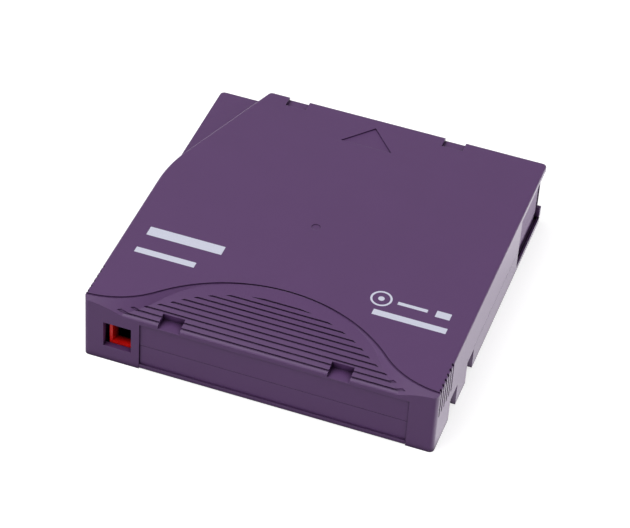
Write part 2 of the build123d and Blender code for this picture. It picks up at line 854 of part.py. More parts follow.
# Coil spring that holds the door shut, of square wire in short straight runs
door_spring_length = door_lug_y - door_anchor_y - 2 * spring_seat_gap - door_spring_wire
door_coil_runs = door_spring_turns * coil_steps
door_coil = Helix(
    pitch=door_spring_length / door_spring_turns,
    height=door_spring_length,
    radius=door_spring_radius - door_spring_wire / 2,
    center=(
        door_spring_x,
        door_anchor_y + spring_seat_gap + door_spring_wire / 2,
        door_spring_z,
    ),
    direction=(0, 1, 0),
)
with BuildPart() as door_spring:
    with BuildLine() as door_wire:
        Polyline(*[door_coil @ (run / door_coil_runs) for run in range(door_coil_runs + 1)])
    with BuildSketch(Plane(door_wire.line @ 0, z_dir=door_wire.line % 0)):
        Rectangle(door_spring_wire, door_spring_wire)
    sweep(transition=Transition.RIGHT)

door_spring.part.label = "door_spring"
export_step(door_spring.part, "parts/door_spring.step")

# Red write protect tab: a cup that opens towards the window
with BuildPart() as write_protect_tab:
    with BuildSketch(Plane.XY.offset(floor_top + fit_gap)):
        with Locations((tab_left, tab_front_y)):
            Rectangle(tab_right - tab_left, tab_depth, align=(Align.MIN, Align.MIN))
    extrude(amount=tab_top_z - floor_top - fit_gap)
    fillet(write_protect_tab.edges().filter_by(Axis.Z), tab_edge_radius)
    with BuildSketch(Plane.XZ.offset(-tab_front_y)):
        with BuildLine():
            Polyline(
                (tab_left + tab_wall, window_low + tab_sill),
                (tab_right - tab_wall, window_low + tab_sill),
                (tab_right - tab_wall, tab_top_z - tab_wall),
                (tab_left + tab_wall, tab_top_z - tab_wall),
                close=True,
            )
        make_face()
    extrude(amount=-(tab_depth - tab_wall), mode=Mode.SUBTRACT)
    cup_edges = write_protect_tab.edges().filter_by(Axis.Z)
    cup_corner = (tab_left + tab_wall, tab_back_y - tab_wall, (window_low + window_high) / 2)
    fillet(cup_edges.sort_by_distance(cup_corner)[0], tab_cup_radius)

write_protect_tab.part.label = "write_protect_tab"
export_step(write_protect_tab.part, "parts/write_protect_tab.step")

# One drive tooth: a ridge with slanted flanks under the hub
with BuildPart() as drive_tooth:
    with BuildSketch(Plane.YZ.offset(drive_tooth_inner)):
        with BuildLine():
            Polyline(
                (-drive_tooth_root / 2, reel_rest_z + merge_depth),
                (drive_tooth_root / 2, reel_rest_z + merge_depth),
                (drive_tooth_tip / 2, reel_rest_z - drive_tooth_height),
                (-drive_tooth_tip / 2, reel_rest_z - drive_tooth_height),
                close=True,
            )
        make_face()
    extrude(amount=drive_tooth_outer - drive_tooth_inner)

# One brake tooth, standing on the hub's web
with BuildPart() as brake_tooth:
    with BuildSketch(Plane.XY.offset(web_top - merge_depth)):
        with Locations((brake_tooth_inner, 0)):
            Rectangle(
                brake_tooth_outer - brake_tooth_inner,
                brake_tooth_width,
                align=(Align.MIN, Align.CENTER),
            )
    extrude(amount=brake_tooth_height + merge_depth)

# Hub and lower flange, moulded in one
with BuildPart() as reel_hub:
    with BuildSketch(reel_upright):
        with BuildLine():
            Polyline(
                (0, reel_rest_z),
                (flange_radius, reel_rest_z),
                (flange_radius, pack_low_z),
                (hub_radius, pack_low_z),
                (hub_radius, upper_flange_z),
                (hub_radius - hub_wall, upper_flange_z),
                (hub_radius - hub_wall, web_top),
                (0, web_top),
                close=True,
            )
        make_face()
    revolve(axis=reel_axis)
    with Locations((reel_x, reel_y)):
        with PolarLocations(0, drive_tooth_count):
            add(drive_tooth.part)
        with PolarLocations(0, brake_tooth_count):
            add(brake_tooth.part)

    # Seat for the steel drive plate and windows for the pad's legs
    with BuildSketch(reel_level(reel_rest_z)):
        Circle(drive_plate_outer + drive_plate_gap)
        Circle(drive_plate_inner - drive_plate_gap, mode=Mode.SUBTRACT)
    extrude(amount=drive_plate_thick, mode=Mode.SUBTRACT)
    with BuildSketch(reel_level(reel_rest_z - cut_past)):
        with PolarLocations(pad_leg_radius, 3):
            Rectangle(pad_leg_size + 2 * pad_leg_gap, pad_leg_size + 2 * pad_leg_gap)
    extrude(amount=web_top, mode=Mode.SUBTRACT)

reel_hub.part.label = "reel_hub"
export_step(reel_hub.part, "parts/reel_hub.step")

# Steel plate that the drive's magnet pulls on
with BuildPart() as reel_drive_plate:
    with BuildSketch(reel_level(reel_rest_z)):
        Circle(drive_plate_outer)
        Circle(drive_plate_inner, mode=Mode.SUBTRACT)
        with PolarLocations(pad_leg_radius, 3):
            Rectangle(
                pad_leg_size + 2 * pad_leg_gap,
                pad_leg_size + 2 * pad_leg_gap,
                mode=Mode.SUBTRACT,
            )
    extrude(amount=drive_plate_thick)

reel_drive_plate.part.label = "reel_drive_plate"
export_step(reel_drive_plate.part, "parts/reel_drive_plate.step")

# Upper flange, set into the hub by its collar
with BuildPart() as reel_upper_flange:
    with BuildSketch(reel_upright):
        with BuildLine():
            Polyline(
                (collar_inner, upper_flange_z - flange_collar_depth),
                (collar_outer, upper_flange_z - flange_collar_depth),
                (collar_outer, upper_flange_z),
                (flange_radius, upper_flange_z),
                (flange_radius, upper_flange_top),
                (collar_inner, upper_flange_top),
                close=True,
            )
        make_face()
    revolve(axis=reel_axis)

reel_upper_flange.part.label = "reel_upper_flange"
export_step(reel_upper_flange.part, "parts/reel_upper_flange.step")

# Wound tape
with BuildPart() as tape_pack:
    with BuildSketch(reel_level(pack_low_z)):
        Circle(pack_radius)
        Circle(hub_radius + pack_gap, mode=Mode.SUBTRACT)
    extrude(amount=tape_width)

tape_pack.part.label = "tape_pack"
export_step(tape_pack.part, "parts/tape_pack.step")

# Brake button: a toothed plate under a square post
with BuildPart() as brake_button:
    with BuildSketch(reel_level(brake_plate_z)):
        Circle(brake_plate_radius)
    extrude(amount=brake_plate_thick)
    with BuildSketch(reel_level(brake_plate_z + brake_plate_thick)):
        Rectangle(brake_post_side, brake_post_side)
    extrude(amount=roof_under - brake_lift - fit_gap - brake_plate_z - brake_plate_thick)
    with Locations((reel_x, reel_y, brake_plate_z - web_top - brake_tooth_height + merge_depth)):
        with PolarLocations(0, brake_tooth_count, start_angle=180 / brake_tooth_count):
            add(brake_tooth.part)

brake_button.part.label = "brake_button"
export_step(brake_button.part, "parts/brake_button.step")

# Spring between the brake button and the roof
brake_spring_low = brake_plate_z + brake_plate_thick + spring_seat_gap
brake_spring_height = roof_under - spring_seat_gap - brake_spring_low - brake_spring_wire
brake_coil_runs = brake_spring_turns * coil_steps
brake_coil = Helix(
    pitch=brake_spring_height / brake_spring_turns,
    height=brake_spring_height,
    radius=brake_spring_radius,
    center=(reel_x, reel_y, brake_spring_low + brake_spring_wire / 2),
)
with BuildPart() as brake_spring:
    with BuildLine() as brake_wire:
        Polyline(*[brake_coil @ (run / brake_coil_runs) for run in range(brake_coil_runs + 1)])
    with BuildSketch(Plane(brake_wire.line @ 0, z_dir=brake_wire.line % 0)):
        Rectangle(brake_spring_wire, brake_spring_wire)
    sweep(transition=Transition.RIGHT)

brake_spring.part.label = "brake_spring"
export_step(brake_spring.part, "parts/brake_spring.step")

# Release pad: three arms with legs that reach down through the hub's windows
with BuildPart() as brake_release_pad:
    with BuildSketch(reel_level(web_top + fit_gap)):
        Circle(pad_centre_radius)
        with PolarLocations(0, 3):
            Rectangle(
                pad_leg_radius + pad_leg_size / 2, pad_leg_size, align=(Align.MIN, Align.CENTER)
            )
    extrude(amount=pad_plate_thick)
    with BuildSketch(reel_level(reel_rest_z - pad_leg_reach)):
        with PolarLocations(pad_leg_radius, 3):
            Rectangle(pad_leg_size, pad_leg_size)
    extrude(amount=web_top + fit_gap - reel_rest_z + pad_leg_reach)

brake_release_pad.part.label = "brake_release_pad"
export_step(brake_release_pad.part, "parts/brake_release_pad.step")

# Leader pin: a turned shaft with two collars and plain tips
with BuildPart() as leader_pin:
    with BuildSketch(Plane((pin_x, pin_y, 0), x_dir=(1, 0, 0), z_dir=(0, -1, 0))):
        with BuildLine():
            Polyline(
                (0, pin_low_z),
                (pin_tip_radius, pin_low_z),
                (pin_tip_radius, collar_low_z),
                (pin_collar_radius, collar_low_z),
                (pin_collar_radius, pack_low_z),
                (pin_radius, pack_low_z),
                (pin_radius, pin_middle_z),
                (0, pin_middle_z),
                close=True,
            )
        make_face()
    revolve(axis=Axis((pin_x, pin_y, 0), (0, 0, 1)))
    mirror(about=Plane.XY.offset(pin_middle_z))

leader_pin.part.label = "leader_pin"
export_step(leader_pin.part, "parts/leader_pin.step")

# Split sleeve that clamps the tape's end round the pin
with BuildPart() as leader_pin_clip:
    with BuildSketch(Plane.XY.offset(pack_low_z + clip_end_gap)):
        with Locations((pin_x, pin_y)):
            Circle(pin_radius + clip_seat_gap + clip_wall)
            Circle(pin_radius + clip_seat_gap, mode=Mode.SUBTRACT)
            Rectangle(
                2 * pin_collar_radius,
                clip_mouth,
                rotation=clip_mouth_angle,
                align=(Align.MIN, Align.CENTER),
                mode=Mode.SUBTRACT,
            )
    extrude(amount=2 * (pin_middle_z - pack_low_z - clip_end_gap))

leader_pin_clip.part.label = "leader_pin_clip"
export_step(leader_pin_clip.part, "parts/leader_pin_clip.step")

# Folded steel strip whose two arms press on the pin's tips
with BuildPart() as leader_pin_spring:
    with BuildSketch(Plane((pin_x, pin_y, 0), x_dir=(-1, -1, 0), z_dir=(-1, 1, 0))):
        with BuildLine():
            FilletPolyline(
                (pin_tip_radius + pin_seat_gap, pin_spring_low_z),
                (pin_spring_reach, pin_spring_low_z),
                (pin_spring_reach, 2 * pin_middle_z - pin_spring_low_z),
                (pin_tip_radius + pin_seat_gap, 2 * pin_middle_z - pin_spring_low_z),
                radius=pin_spring_bend,
            )
        trace(line_width=pin_spring_thick)
    extrude(amount=pin_spring_width / 2, both=True)

leader_pin_spring.part.label = "leader_pin_spring"
export_step(leader_pin_spring.part, "parts/leader_pin_spring.step")

# Free run of tape between the wound pack and the pin
pin_distance = sqrt((pin_x - reel_x) ** 2 + (pin_y - reel_y) ** 2)
pin_bearing = degrees(atan2(pin_y - reel_y, pin_x - reel_x))
leave_angle = radians(pin_bearing - degrees(acos((pack_radius + leader_lift) / pin_distance)))
leave_x = reel_x + (pack_radius + leader_lift) * cos(leave_angle)
leave_y = reel_y + (pack_radius + leader_lift) * sin(leave_angle)
with BuildPart() as leader_tape:
    with BuildSketch(Plane.XY.offset(pack_low_z + leader_edge_gap)):
        with BuildLine():
            leader_run = Line((leave_x, leave_y), (pin_x, pin_y))
        trace(line_width=leader_thick)
        with Locations((pin_x, pin_y)):
            Circle(pin_radius + clip_seat_gap + clip_wall + clip_seat_gap, mode=Mode.SUBTRACT)
    extrude(amount=tape_width)

leader_tape.part.label = "leader_tape"
export_step(leader_tape.part, "parts/leader_tape.step")

# Memory board lying on its two slanted rests, and the chip on it
board_slant = Plane(
    (board_x, board_wall_y + board_rest_size / 2, floor_top + board_rest_size / 2),
    x_dir=(1, 0, 0),
    z_dir=(0, 1, 1),
)
with BuildPart() as memory_board:
    with BuildSketch(board_slant):
        Rectangle(board_width, board_height)
    extrude(amount=board_thick)

memory_board.part.label = "memory_board"
export_step(memory_board.part, "parts/memory_board.step")

with BuildPart() as memory_chip:
    with BuildSketch(board_slant.offset(board_thick)):
        Rectangle(chip_size, chip_size)
    extrude(amount=chip_thick)

memory_chip.part.label = "memory_chip"
export_step(memory_chip.part, "parts/memory_chip.step")

# Four case screws, driven from below
with BuildPart() as case_screws:
    with BuildSketch(Plane.XY.offset(screw_seat_z - screw_head_height)):
        with Locations(*screw_places):
            Circle(screw_head_radius)
    extrude(amount=screw_head_height)
    with BuildSketch(Plane.XY.offset(screw_seat_z)):
        with Locations(*screw_places):
            Circle(screw_radius)
    extrude(amount=screw_reach)

case_screws.part.label = "case_screws"
export_step(case_screws.part, "parts/case_screws.step")
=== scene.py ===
import math

import bmesh
import bpy
from bpy.props import FloatProperty, FloatVectorProperty, IntProperty, PointerProperty
from mathutils import Matrix, Vector


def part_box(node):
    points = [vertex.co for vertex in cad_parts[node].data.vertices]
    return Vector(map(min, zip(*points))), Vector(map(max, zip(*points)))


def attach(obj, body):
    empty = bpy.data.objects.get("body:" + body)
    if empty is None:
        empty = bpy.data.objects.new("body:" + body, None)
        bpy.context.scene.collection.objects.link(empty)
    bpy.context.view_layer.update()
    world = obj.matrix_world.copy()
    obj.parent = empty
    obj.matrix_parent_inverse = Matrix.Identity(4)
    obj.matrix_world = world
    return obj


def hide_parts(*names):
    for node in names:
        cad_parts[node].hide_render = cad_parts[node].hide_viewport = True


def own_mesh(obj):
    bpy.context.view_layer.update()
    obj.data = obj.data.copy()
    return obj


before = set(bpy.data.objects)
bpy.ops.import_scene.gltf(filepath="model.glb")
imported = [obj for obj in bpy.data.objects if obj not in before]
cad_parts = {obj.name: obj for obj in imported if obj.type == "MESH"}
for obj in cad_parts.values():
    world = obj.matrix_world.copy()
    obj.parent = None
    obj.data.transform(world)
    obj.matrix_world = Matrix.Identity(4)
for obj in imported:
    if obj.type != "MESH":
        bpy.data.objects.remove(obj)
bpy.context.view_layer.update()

bl_info = {
    "name": "Data tape cartridge",
    "version": (1, 0, 0),
    "blender": (4, 5, 0),
    "location": "3D View > Sidebar > Cartridge",
    "description": "Dresses the packed parts of a half-inch data tape cartridge",
    "category": "Object",
}

MM = 0.001
ROOF_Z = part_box("upper_shell")[1].z
REEL_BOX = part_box("tape_pack")
REEL_CENTRE = Vector((0.0, (REEL_BOX[0].y + REEL_BOX[1].y) / 2, 0.0))

# Printed bars on the roof, in millimetres: left and right ends, then near and far edges
ROOF_BARS = (
    (-45.0, -22.5, -22.4, -18.8),
    (-45.4, -27.6, -30.4, -28.2),
    (24.0, 45.2, -29.0, -26.8),
    (29.4, 38.0, -22.7, -21.5),
    (40.4, 44.6, -23.4, -20.8),
)
# Printed reel sign, in millimetres: a ring round a dot
SIGN_CENTRE = Vector((24.6, -22.1, 0.0))
SIGN_RING_INNER = 2.5
SIGN_RING_OUTER = 3.1
SIGN_DOT_RADIUS = 0.9
SIGN_SIDES = 40

# Depths into the cup of the write protect tab, in millimetres, for its painted shade: red is full,
# and red is painted black
TAB_SHADE_START = 0.6
TAB_SHADE_BLACK = 2.8

# Coil springs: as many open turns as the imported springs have, and a closed one at each end
DOOR_WIRE = 0.6 * MM
DOOR_TURNS = 10
BRAKE_WIRE = 0.7 * MM
BRAKE_TURNS = 6
COIL_STEPS = 28
# Rise of a closed turn, as a share of the wire's thickness
CLOSED_TURN_RISE = 1.05

# Copper aerial on the memory board, which leans on its rests, in millimetres
BOARD_SLANT = math.radians(-45)
TRACK_LIFT = 0.31
TRACK_TURNS = 5
TRACK_HALF_WIDTH = 0.08
TRACK_HALF_HEIGHT = 0.02
TRACK_PITCH = 0.36
TRACK_REACH_ACROSS = 3.7
TRACK_REACH_ALONG = 4.2

# Case screws, in millimetres: where they stand, and the form that all four share
SCREW_PLACES = ((-44.3, -39.4), (43.0, -36.0), (-44.2, 44.6), (32.5, 46.9))
SCREW_SIDES = 32
# Half outline of the head: distance from the axis, then height over its lowest face
SCREW_HEAD = ((0.0, 0.02), (1.7, 0.0), (1.98, 0.12), (2.1, 0.38), (2.1, 1.3), (0.95, 1.3))
SCREW_TIP_RADIUS = 0.35
SCREW_TIP_RISE = 0.02
THREAD_CORE_RADIUS = 0.82
THREAD_DEPTH = 0.28
THREAD_STEEPNESS = 3.2
THREAD_ROWS = 66
THREAD_LENGTH = 6.6
# The cutter of the cross recess starts a little below the head's face
RECESS_HALF_SPAN = 1.25
RECESS_HALF_WIDTH = 0.24
RECESS_DEPTH = 0.75
RECESS_CLEAR = 0.3
RECESS_TURN = 22

# Lamps, in metres: where each stands, and the side of its square face
KEY_PLACE = (-0.45, -0.38, 1.3)
KEY_SIZE = 1.4
FILL_PLACE = (0.9, -1.3, 0.7)
FILL_SIZE = 1.0
# White table: its own grey, and the light that it adds for the camera alone
TABLE_GREY = 0.55
TABLE_GLOW = 0.72
# Painted pool of light on the table, seen only by glossy rays, that the right side mirrors: its span,
# then level by share of the span
POOL_START = -4 * MM
POOL_END = 126 * MM
POOL_BRIGHTEST = 2.3
POOL_LEVELS = ((0.08, 0.86), (0.3, 0.7), (0.65, 0.7), (0.85, 0.97))
# Painted reflection of a backdrop, seen only by glossy rays, by the slope of a ray: bright up to the
# first slope, and gone from the second
BACKDROP_LEVEL = 2.6
BACKDROP_FULL = 0.12
BACKDROP_GONE = 0.22


# Shared helpers


def linear(hex_colour):
    """Turns an sRGB hex colour into the linear values that Blender works in."""
    channels = [int(hex_colour[i : i + 2], 16) / 255 for i in (1, 3, 5)]
    return tuple(c / 12.92 if c <= 0.04045 else ((c + 0.055) / 1.055) ** 2.4 for c in channels)


def shade(colour, factor):
    """One colour made lighter or darker, with alpha for a socket."""
    return tuple(min(c * factor, 1.0) for c in colour[:3]) + (1.0,)


def per_mm(size):
    """Texture scale that gives a pattern of one size, in millimetres, on coordinates in metres."""
    return 1.0 / (size * MM)


def put(tree, kind, settings=None, values=None, feeds=None):
    """Adds one node with its settings, its sockets' values and the links that feed it."""
    made = tree.nodes.new(kind)
    for name, value in (settings or {}).items():
        setattr(made, name, value)
    for name, value in (values or {}).items():
        made.inputs[name].default_value = value
    for name, source in (feeds or {}).items():
        tree.links.new(source, made.inputs[name])
    return made


def blank(name):
    """A new material with its surface shader, ready for its nodes."""
    material = bpy.data.materials.new(name)
    material.use_nodes = True
    tree = material.node_tree
    tree.nodes.clear()
    shader = put(tree, "ShaderNodeBsdfPrincipled")
    put(tree, "ShaderNodeOutputMaterial", feeds={"Surface": shader.outputs["BSDF"]})
    return material, tree, shader


def mottle(tree, where, colour, size, low, high, detail=3.0):
    """Colour that wanders between a darker and a lighter shade of itself over patches of one size."""
    noise = put(
        tree,
        "ShaderNodeTexNoise",
        values={"Scale": per_mm(size), "Detail": detail, "Roughness": 0.55},
        feeds={"Vector": where},
    )
    return put(
        tree,
        "ShaderNodeMix",
        settings={"data_type": "RGBA"},
        values={6: shade(colour, low), 7: shade(colour, high)},
        feeds={0: noise.outputs["Fac"]},
    ).outputs[2]


def paint_shade(tree, shader, colour, source, start, end, darkest):
    """Paints shade: fades the colour and the gloss from full at one value of a source to the darkest
    at another.
    """
    share = put(
        tree,
        "ShaderNodeMapRange",
        values={"From Min": start, "From Max": end, "To Min": 1.0, "To Max": darkest},
        feeds={"Value": source},
    )
    shaded = put(
        tree,
        "ShaderNodeVectorMath",
        settings={"operation": "SCALE"},
        feeds={0: colour, "Scale": share.outputs["Result"]},
    )
    gloss = put(
        tree,
        "ShaderNodeMath",
        settings={"operation": "MULTIPLY"},
        values={1: 0.5},
        feeds={0: share.outputs["Result"]},
    )
    tree.links.new(shaded.outputs["Vector"], shader.inputs["Base Color"])
    tree.links.new(gloss.outputs["Value"], shader.inputs["Specular IOR Level"])


def rings_round_reel(tree, where, size, detail, roughness):
    """Fine rings round the reel's axis, as winding or turning leaves them."""
    flat = put(
        tree,
        "ShaderNodeVectorMath",
        settings={"operation": "MULTIPLY"},
        values={1: (1.0, 1.0, 0.0)},
        feeds={0: where},
    )
    reach = put(
        tree,
        "ShaderNodeVectorMath",
        settings={"operation": "DISTANCE"},
        values={1: tuple(REEL_CENTRE)},
        feeds={0: flat.outputs["Vector"]},
    )
    return put(
        tree,
        "ShaderNodeTexNoise",
        settings={"noise_dimensions": "1D"},
        values={"Scale": per_mm(size), "Detail": detail, "Roughness": roughness},
        feeds={"W": reach.outputs["Value"]},
    )


def dress(node_name, material):
    """Gives one CAD node its material, on every slot that it has."""
    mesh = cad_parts[node_name].data
    if not mesh.materials:
        mesh.materials.append(material)
    for index in range(len(mesh.materials)):
        mesh.materials[index] = material


def piece(name, mesh_data, material, body, smooth_angle=None):
    """Links a finished bmesh as one piece that rides on a body."""
    mesh = bpy.data.meshes.new(name)
    mesh_data.to_mesh(mesh)
    mesh_data.free()
    mesh.materials.append(material)
    made = bpy.data.objects.new(name, mesh)
    bpy.context.collection.objects.link(made)
    if smooth_angle:
        mesh.shade_smooth()
        mesh.set_sharp_from_angle(angle=math.radians(smooth_angle))
    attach(made, body)
    return made


def slab(shape, low, high):
    """Adds a closed box between two corners, in millimetres, to a bmesh."""
    size = Vector(high) - Vector(low)
    middle = (Vector(high) + Vector(low)) / 2
    place = Matrix.Translation(middle * MM) @ Matrix.Diagonal((*(size * MM), 1.0))
    bmesh.ops.create_cube(shape, size=1.0, matrix=place)


def tube(shape, centres, radius, sides):
    """Adds a closed round wire along a list of points, all in metres."""
    rings = []
    last = len(centres) - 1
    for index, centre in enumerate(centres):
        ahead = centres[min(index + 1, last)] - centres[max(index - 1, 0)]
        turn = ahead.to_track_quat("Z", "Y")
        ring = []
        for side in range(sides):
            angle = 2 * math.pi * side / sides
            spoke = Vector((math.cos(angle), math.sin(angle), 0)) * radius
            ring.append(shape.verts.new(centre + turn @ spoke))
        if rings:
            # The spokes can flip between two points, so each ring starts beside the last one
            beside = rings[-1][0].co
            first = min(range(sides), key=lambda side: (ring[side].co - beside).length)
            ring = ring[first:] + ring[:first]
        rings.append(ring)
    for before, after in zip(rings, rings[1:]):
        for side in range(sides):
            there = (side + 1) % sides
            shape.faces.new((before[side], before[there], after[there], after[side]))
    shape.faces.new(list(reversed(rings[0])))
    shape.faces.new(rings[-1])
    bmesh.ops.recalc_face_normals(shape, faces=shape.faces)


# Sizes and colours that a user would change


class CartridgeCaseLooks(bpy.types.PropertyGroup):
    case_colour: FloatVectorProperty(
        name="Case colour",
        description="Colour of the moulded case and door",
        subtype="COLOR",
        default=linear("#5b396b"),
    )
    grain_size: FloatProperty(
        name="Grain size",
        description="Size of the moulded grain",
        subtype="DISTANCE",
        unit="LENGTH",
        default=0.45 * MM,
    )
    case_roughness: FloatProperty(
        name="Case roughness",
        description="Roughness of the two shells' moulded surface",
        subtype="FACTOR",
        default=0.42,
    )
    door_roughness: FloatProperty(
        name="Door roughness",
        description="Roughness of the door's moulded surface",
        subtype="FACTOR",
        default=0.62,
    )
    mark_colour: FloatVectorProperty(
        name="Mark colour",
        description="Colour of the printed bars and rings on the roof",
        subtype="COLOR",
        default=linear("#dcdef0"),
    )
    mark_thickness: FloatProperty(
        name="Ink thickness",
        description="How far the printed marks stand proud",
        subtype="DISTANCE",
        unit="LENGTH",
        default=0.02 * MM,
    )


class CartridgeInsideLooks(bpy.types.PropertyGroup):
    tab_colour: FloatVectorProperty(
        name="Tab colour",
        description="Colour of the write protect tab",
        subtype="COLOR",
        default=linear("#f81a16"),
    )
    hub_colour: FloatVectorProperty(
        name="Reel colour",
        description="Colour of the hub and flanges",
        subtype="COLOR",
        default=linear("#d9d6cb"),
    )
    dark_colour: FloatVectorProperty(
        name="Dark parts",
        description="Colour of the brake, the release pad and the pin's clip",
        subtype="COLOR",
        default=linear("#2b2a2d"),
    )
    tape_colour: FloatVectorProperty(
        name="Tape colour",
        description="Colour of the coated tape's edge",
        subtype="COLOR",
        default=linear("#2a2320"),
    )
    steel_colour: FloatVectorProperty(
        name="Steel colour",
        description="Colour of springs, pin and drive plate",
        subtype="COLOR",
        default=linear("#c3c0bb"),
    )
    wire_sides: IntProperty(
        name="Wire sides",
        description="Faces round the wire of each spring",
        default=10,
    )
    thread_pitch: FloatProperty(
        name="Thread pitch",
        description="Pitch of the case screws' thread",
        subtype="DISTANCE",
        unit="LENGTH",
        default=0.85 * MM,
    )


class CartridgeStageLooks(bpy.types.PropertyGroup):
    floor_size: FloatProperty(
        name="Floor size",
        description="Side of the square floor",
        subtype="DISTANCE",
        unit="LENGTH",
        default=8.0,
    )
    sky_strength: FloatProperty(
        name="Sky strength",
        description="Strength of the even light from all round",
        default=0.4,
    )
    key_power: FloatProperty(
        name="Key light",
        description="Power of the large soft light overhead",
        unit="POWER",
        default=14.0,
    )
    fill_power: FloatProperty(
        name="Fill light",
        description="Power of the soft light beside the camera",
        unit="POWER",
        default=0.4,
    )
    lens: FloatProperty(
        name="Lens",
        description="Focal length, in millimetres, for a 36 mm wide sensor",
        unit="CAMERA",
        default=154.28,
    )
    camera_place: FloatVectorProperty(
        name="Camera place",
        description="Where the camera stands",
        subtype="TRANSLATION",
        unit="LENGTH",
        default=(0.16656, -0.55618, 0.51715),
    )
    camera_right: FloatVectorProperty(
        name="Camera right",
        description="Direction of the picture's right side",
        subtype="DIRECTION",
        default=(0.94101, 0.33410, 0.05363),
    )
    camera_ahead: FloatVectorProperty(
        name="Camera ahead",
        description="Direction that the camera looks in",
        subtype="DIRECTION",
        default=(-0.21779, 0.71931, -0.65966),
    )


# Materials


def moulded_case_plastic(name, looks, roughness):
    """Polycarbonate blend, moulded against a spark-eroded steel surface.

    The grain is a fine matt texture. It breaks up reflections, so that the roof looks even,
    while a side seen at a low angle still mirrors the painted pool of light on the table.
    Painted shade darkens the colour and gloss in its grooves and slots.
    """
    material, tree, shader = blank(name)
    where = put(tree, "ShaderNodeTexCoord").outputs["Object"]
    colour = mottle(tree, where, looks.case_colour, size=14.0, low=0.95, high=1.05)
    soft_edge = put(
        tree, "ShaderNodeBevel", settings={"samples": 6}, values={"Radius": 0.14 * MM}
    )
    grain = put(
        tree,
        "ShaderNodeTexNoise",
        values={"Scale": 1 / looks.grain_size, "Detail": 4.0, "Roughness": 0.6},
        feeds={"Vector": where},
    )
    relief = put(
        tree,
        "ShaderNodeBump",
        values={"Strength": 0.22, "Distance": 0.03 * MM},
        feeds={"Height": grain.outputs["Fac"], "Normal": soft_edge.outputs["Normal"]},
    )
    # Painted shade: ambient occlusion darkens the colour and gloss in grooves and slots, so that
    # their floors look deeper than they are
    crevice_shade = put(
        tree, "ShaderNodeAmbientOcclusion", settings={"samples": 8}, values={"Distance": 3.0 * MM}
    )
    paint_shade(tree, shader, colour, crevice_shade.outputs["AO"], start=0.85, end=0.35, darkest=0.2)
    rough = put(
        tree,
        "ShaderNodeMapRange",
        values={"To Min": roughness - 0.04, "To Max": roughness + 0.05},
        feeds={"Value": grain.outputs["Fac"]},
    )
    tree.links.new(rough.outputs["Result"], shader.inputs["Roughness"])
    tree.links.new(relief.outputs["Normal"], shader.inputs["Normal"])
    shader.inputs["IOR"].default_value = 1.52
    return material


def screen_ink(looks):
    """Pale ink, screen printed on the grained roof, so it lies flat and covers unevenly."""
    material, tree, shader = blank("mark_ink_screen_printed")
    where = put(tree, "ShaderNodeTexCoord").outputs["Object"]
    colour = mottle(tree, where, looks.mark_colour, size=0.5, low=0.86, high=1.04, detail=5.0)
    tree.links.new(colour, shader.inputs["Base Color"])
    shader.inputs["Roughness"].default_value = 0.5
    return material


def smooth_plastic(name, colour, roughness, ior, grain, strength, through=0.0, shade_depths=None):
    """Plastic moulded against polished steel: faint flow marks and a soft, even gloss."""
    material, tree, shader = blank(name)
    where = put(tree, "ShaderNodeTexCoord").outputs["Object"]
    tint = mottle(tree, where, colour, size=6.0, low=0.92, high=1.06)
    tree.links.new(tint, shader.inputs["Base Color"])
    # Painted shade: the colour and gloss darken along Y between two depths
    if shade_depths:
        depth = put(tree, "ShaderNodeSeparateXYZ", feeds={"Vector": where})
        paint_shade(tree, shader, tint, depth.outputs["Y"], start=shade_depths[0], end=shade_depths[1], darkest=0.0)
    ripple = put(
        tree,
        "ShaderNodeTexNoise",
        values={"Scale": per_mm(grain), "Detail": 3.0, "Roughness": 0.5},
        feeds={"Vector": where},
    )
    relief = put(
        tree,
        "ShaderNodeBump",
        values={"Strength": strength, "Distance": 0.02 * MM},
        feeds={"Height": ripple.outputs["Fac"]},
    )
    rough = put(
        tree,
        "ShaderNodeMapRange",
        values={"To Min": roughness - 0.05, "To Max": roughness + 0.07},
        feeds={"Value": ripple.outputs["Fac"]},
    )
    tree.links.new(rough.outputs["Result"], shader.inputs["Roughness"])
    tree.links.new(relief.outputs["Normal"], shader.inputs["Normal"])
    shader.inputs["IOR"].default_value = ior
    if through:
        shader.inputs["Subsurface Weight"].default_value = through
        shader.inputs["Subsurface Radius"].default_value = (1.0, 0.9, 0.8)
        shader.inputs["Subsurface Scale"].default_value = 1.5 * MM
    return material


def drawn_steel(name, colour, roughness, pitch, around_reel=False):
    """Steel with the fine parallel marks of drawing, turning or stamping."""
    material, tree, shader = blank(name)
    where = put(tree, "ShaderNodeTexCoord").outputs["Object"]
    if around_reel:
        marks = rings_round_reel(tree, where, size=pitch, detail=4.0, roughness=0.5)
    else:
        stretch = put(
            tree,
            "ShaderNodeMapping",
            values={"Scale": (1.0, 1.0, 0.04)},
            feeds={"Vector": where},
        )
        marks = put(
            tree,
            "ShaderNodeTexNoise",
            values={"Scale": per_mm(pitch), "Detail": 4.0},
            feeds={"Vector": stretch.outputs["Vector"]},
        )
    relief = put(
        tree,
        "ShaderNodeBump",
        values={"Strength": 0.15, "Distance": 0.01 * MM},
        feeds={"Height": marks.outputs["Fac"]},
    )
    rough = put(
        tree,
        "ShaderNodeMapRange",
        values={"To Min": roughness - 0.08, "To Max": roughness + 0.12},
        feeds={"Value": marks.outputs["Fac"]},
    )
    tint = put(
        tree,
        "ShaderNodeMix",
        settings={"data_type": "RGBA"},
        values={6: shade(colour, 0.86), 7: shade(colour, 1.05)},
        feeds={0: marks.outputs["Fac"]},
    )
    tree.links.new(tint.outputs[2], shader.inputs["Base Color"])
    tree.links.new(rough.outputs["Result"], shader.inputs["Roughness"])
    tree.links.new(relief.outputs["Normal"], shader.inputs["Normal"])
    shader.inputs["Metallic"].default_value = 1.0
    return material


